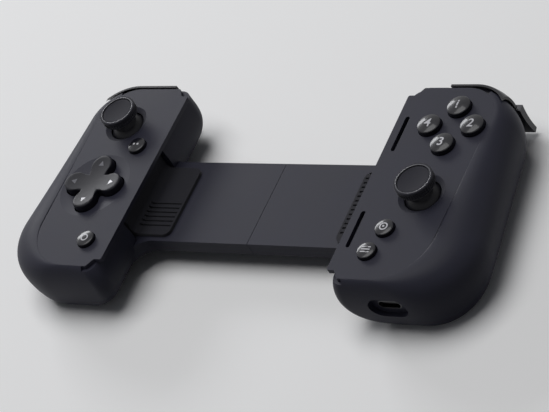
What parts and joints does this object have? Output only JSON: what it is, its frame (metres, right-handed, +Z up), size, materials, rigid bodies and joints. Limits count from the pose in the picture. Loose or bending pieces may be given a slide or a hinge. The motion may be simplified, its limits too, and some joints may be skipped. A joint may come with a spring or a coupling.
{
  "type": "mobile game controller",
  "caption": "Telescopic phone game controller: handheld pods with thumb sticks, keys, direction pad and shoulder triggers on a spring-loaded sliding bridge.",
  "frame": {"origin": "centre of the footprint on the surface that the pods rest on, with the bridge closed", "axes": "+X from the left pod to the right pod, +Y from the near grip ends to the shoulder keys, +Z up out of the face"},
  "size_m": [0.211, 0.0972, 0.0364],
  "materials": {
    "shell": "fine textured moulding",
    "deck": "fine textured moulding",
    "pad": "soft matt",
    "key": "polished moulding",
    "stick": "satin moulding",
    "grip": "soft matt with a knurled side",
    "shoulder": "satin moulding",
    "plate": "satin moulding",
    "board": "solder mask over fibre board",
    "switch": "as moulded",
    "steel": "plain plated",
    "mount": "as moulded",
    "tongue": "as moulded",
    "ribbon": "amber film"
  },
  "bodies": {
    "left_pod": {"left_front_shell": "shell", "left_rear_shell": "shell", "left_bridge_deck": "deck", "left_bridge_base": "deck", "left_rest_pad": "pad", "left_circuit_board": "board", "left_switches": "switch", "left_screws": "steel", "left_stick_module": "switch", "left_trigger_pin": "steel", "dpad_pedestal": "switch"},
    "right_pod": {"right_front_shell": "shell", "right_rear_shell": "shell", "right_bridge_deck": "deck", "right_bridge_base": "deck", "right_rest_pad": "pad", "right_circuit_board": "board", "right_switches": "switch", "right_screws": "steel", "right_stick_module": "switch", "right_trigger_pin": "steel", "plug_mount": "mount", "phone_plug": "steel", "charge_port_shell": "steel", "charge_port_tongue": "tongue"},
    "carriage": {"slide_plate": "plate", "left_spring": "steel", "right_spring": "steel", "flex_cable": "ribbon"},
    "left_stick_arm": {"left_stick_arm": "switch"},
    "left_stick_pivot": {"left_stick_pivot": "switch"},
    "left_stick": {"left_stick_shaft": "stick", "left_stick_cap": "grip"},
    "left_bumper": {"left_bumper": "key"},
    "left_trigger": {"left_trigger": "shoulder"},
    "right_stick_arm": {"right_stick_arm": "switch"},
    "right_stick_pivot": {"right_stick_pivot": "switch"},
    "right_stick": {"right_stick_shaft": "stick", "right_stick_cap": "grip"},
    "right_bumper": {"right_bumper": "key"},
    "right_trigger": {"right_trigger": "shoulder"},
    "dpad_ball": {"dpad_pivot_ball": "switch"},
    "dpad": {"dpad": "key"},
    "share_button": {"share_button": "key"},
    "capture_button": {"capture_button": "key"},
    "options_button": {"options_button": "key"},
    "menu_button": {"menu_button": "key"},
    "inner_button": {"inner_button": "key"},
    "outer_button": {"outer_button": "key"},
    "far_button": {"far_button": "key"},
    "near_button": {"near_button": "key"}
  },
  "joints": [
    {"name": "left_bridge_slide", "type": "slide", "parent": "left_pod", "child": "carriage", "axis": [1, 0, 0], "range_m": [0, 0.032], "stiffness_N_per_m": 60, "springref_m": -0.02, "deforming": ["left_spring", "flex_cable"]},
    {"name": "right_bridge_slide", "type": "slide", "parent": "carriage", "child": "right_pod", "axis": [1, 0, 0], "range_m": [0, 0.032], "stiffness_N_per_m": 60, "springref_m": -0.02, "deforming": ["right_spring", "flex_cable"]},
    {"name": "left_stick_tilt_x", "type": "hinge", "parent": "left_pod", "child": "left_stick_arm", "pos_m": [-0.0752, 0.027, 0.0215], "axis": [1, 0, 0], "range_deg": [-15, 15], "stiffness_Nm_per_rad": 0.03},
    {"name": "left_stick_tilt_y", "type": "hinge", "parent": "left_stick_arm", "child": "left_stick_pivot", "pos_m": [-0.0752, 0.027, 0.0215], "axis": [0, 1, 0], "range_deg": [-15, 15], "stiffness_Nm_per_rad": 0.03},
    {"name": "left_stick_click", "type": "slide", "parent": "left_stick_pivot", "child": "left_stick", "axis": [0, 0, -1], "range_m": [0, 0.0004], "stiffness_N_per_m": 2000, "springref_m": -0.0005},
    {"name": "right_stick_tilt_x", "type": "hinge", "parent": "right_pod", "child": "right_stick_arm", "pos_m": [0.0765, -0.0055, 0.0215], "axis": [1, 0, 0], "range_deg": [-15, 15], "stiffness_Nm_per_rad": 0.03},
    {"name": "right_stick_tilt_y", "type": "hinge", "parent": "right_stick_arm", "child": "right_stick_pivot", "pos_m": [0.0765, -0.0055, 0.0215], "axis": [0, 1, 0], "range_deg": [-15, 15], "stiffness_Nm_per_rad": 0.03},
    {"name": "right_stick_click", "type": "slide", "parent": "right_stick_pivot", "child": "right_stick", "axis": [0, 0, -1], "range_m": [0, 0.0004], "stiffness_N_per_m": 2000, "springref_m": -0.0005},
    {"name": "dpad_tilt_x", "type": "hinge", "parent": "left_pod", "child": "dpad_ball", "pos_m": [-0.074, -0.0053, 0.0226], "axis": [1, 0, 0], "range_deg": [-3.5, 3.5], "stiffness_Nm_per_rad": 0.1},
    {"name": "dpad_tilt_y", "type": "hinge", "parent": "dpad_ball", "child": "dpad", "pos_m": [-0.074, -0.0053, 0.0226], "axis": [0, 1, 0], "range_deg": [-3.5, 3.5], "stiffness_Nm_per_rad": 0.1},
    {"name": "share_button_press", "type": "slide", "parent": "left_pod", "child": "share_button", "axis": [0, 0, -1], "range_m": [0, 0.0008], "stiffness_N_per_m": 400, "springref_m": -0.001},
    {"name": "capture_button_press", "type": "slide", "parent": "left_pod", "child": "capture_button", "axis": [0, 0, -1], "range_m": [0, 0.0008], "stiffness_N_per_m": 400, "springref_m": -0.001},
    {"name": "options_button_press", "type": "slide", "parent": "right_pod", "child": "options_button", "axis": [0, 0, -1], "range_m": [0, 0.0008], "stiffness_N_per_m": 400, "springref_m": -0.001},
    {"name": "menu_button_press", "type": "slide", "parent": "right_pod", "child": "menu_button", "axis": [0, 0, -1], "range_m": [0, 0.0008], "stiffness_N_per_m": 400, "springref_m": -0.001},
    {"name": "inner_button_press", "type": "slide", "parent": "right_pod", "child": "inner_button", "axis": [0, 0, -1], "range_m": [0, 0.001], "stiffness_N_per_m": 400, "springref_m": -0.001},
    {"name": "outer_button_press", "type": "slide", "parent": "right_pod", "child": "outer_button", "axis": [0, 0, -1], "range_m": [0, 0.001], "stiffness_N_per_m": 400, "springref_m": -0.001},
    {"name": "far_button_press", "type": "slide", "parent": "right_pod", "child": "far_button", "axis": [0, 0, -1], "range_m": [0, 0.001], "stiffness_N_per_m": 400, "springref_m": -0.001},
    {"name": "near_button_press", "type": "slide", "parent": "right_pod", "child": "near_button", "axis": [0, 0, -1], "range_m": [0, 0.001], "stiffness_N_per_m": 400, "springref_m": -0.001},
    {"name": "left_bumper_press", "type": "slide", "parent": "left_pod", "child": "left_bumper", "axis": [0, -1, 0], "range_m": [0, 0.0005], "stiffness_N_per_m": 1500, "springref_m": -0.0005},
    {"name": "left_trigger_pull", "type": "hinge", "parent": "left_pod", "child": "left_trigger", "pos_m": [-0.078, 0.0396, 0.0134], "axis": [-1, 0, 0], "range_deg": [0, 14], "stiffness_Nm_per_rad": 0.05, "springref_deg": -5.73},
    {"name": "right_bumper_press", "type": "slide", "parent": "right_pod", "child": "right_bumper", "axis": [0, -1, 0], "range_m": [0, 0.0005], "stiffness_N_per_m": 1500, "springref_m": -0.0005},
    {"name": "right_trigger_pull", "type": "hinge", "parent": "right_pod", "child": "right_trigger", "pos_m": [0.078, 0.0396, 0.0134], "axis": [-1, 0, 0], "range_deg": [0, 14], "stiffness_Nm_per_rad": 0.05, "springref_deg": -5.73}
  ]
}
